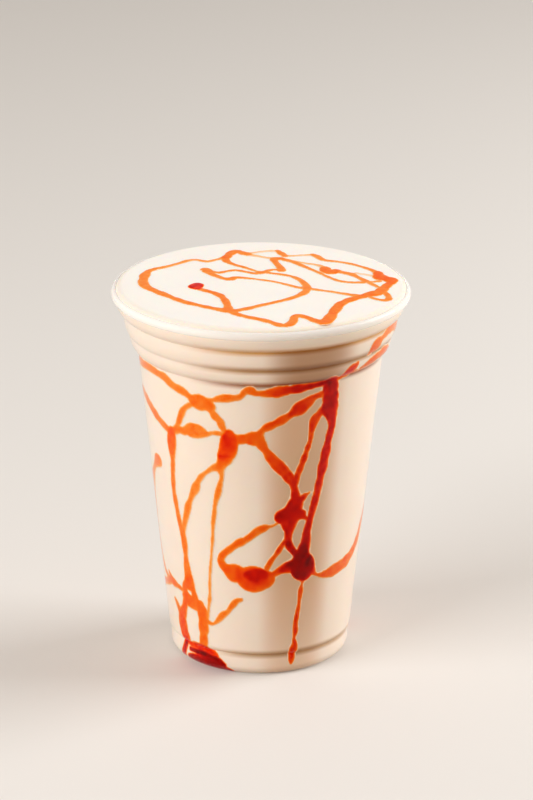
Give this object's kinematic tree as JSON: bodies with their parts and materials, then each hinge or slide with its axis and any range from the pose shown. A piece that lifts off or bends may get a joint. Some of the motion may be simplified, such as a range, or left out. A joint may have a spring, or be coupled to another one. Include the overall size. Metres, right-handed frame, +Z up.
{
  "type": "milkshake in a clear disposable cup",
  "caption": "Clear tapered cup with a rolled rim, a banded collar and a foot ring, filled to a bulging brim with a pale milkshake streaked and topped with red syrup.",
  "frame": {"origin": "on the cup's axis, in the plane it stands on", "axes": "+Z up along the cup's axis; -Y faces the viewer"},
  "size_m": [0.095, 0.095, 0.1233],
  "materials": {
    "clear_plastic": "thin clear moulded plastic, glossy",
    "milkshake": "pale cream whipped milk, soft satin",
    "syrup": "red fruit syrup, orange where it is thin"
  },
  "bodies": {
    "root": {"cup": "clear_plastic", "milkshake": "milkshake"}
  },
  "joints": []
}
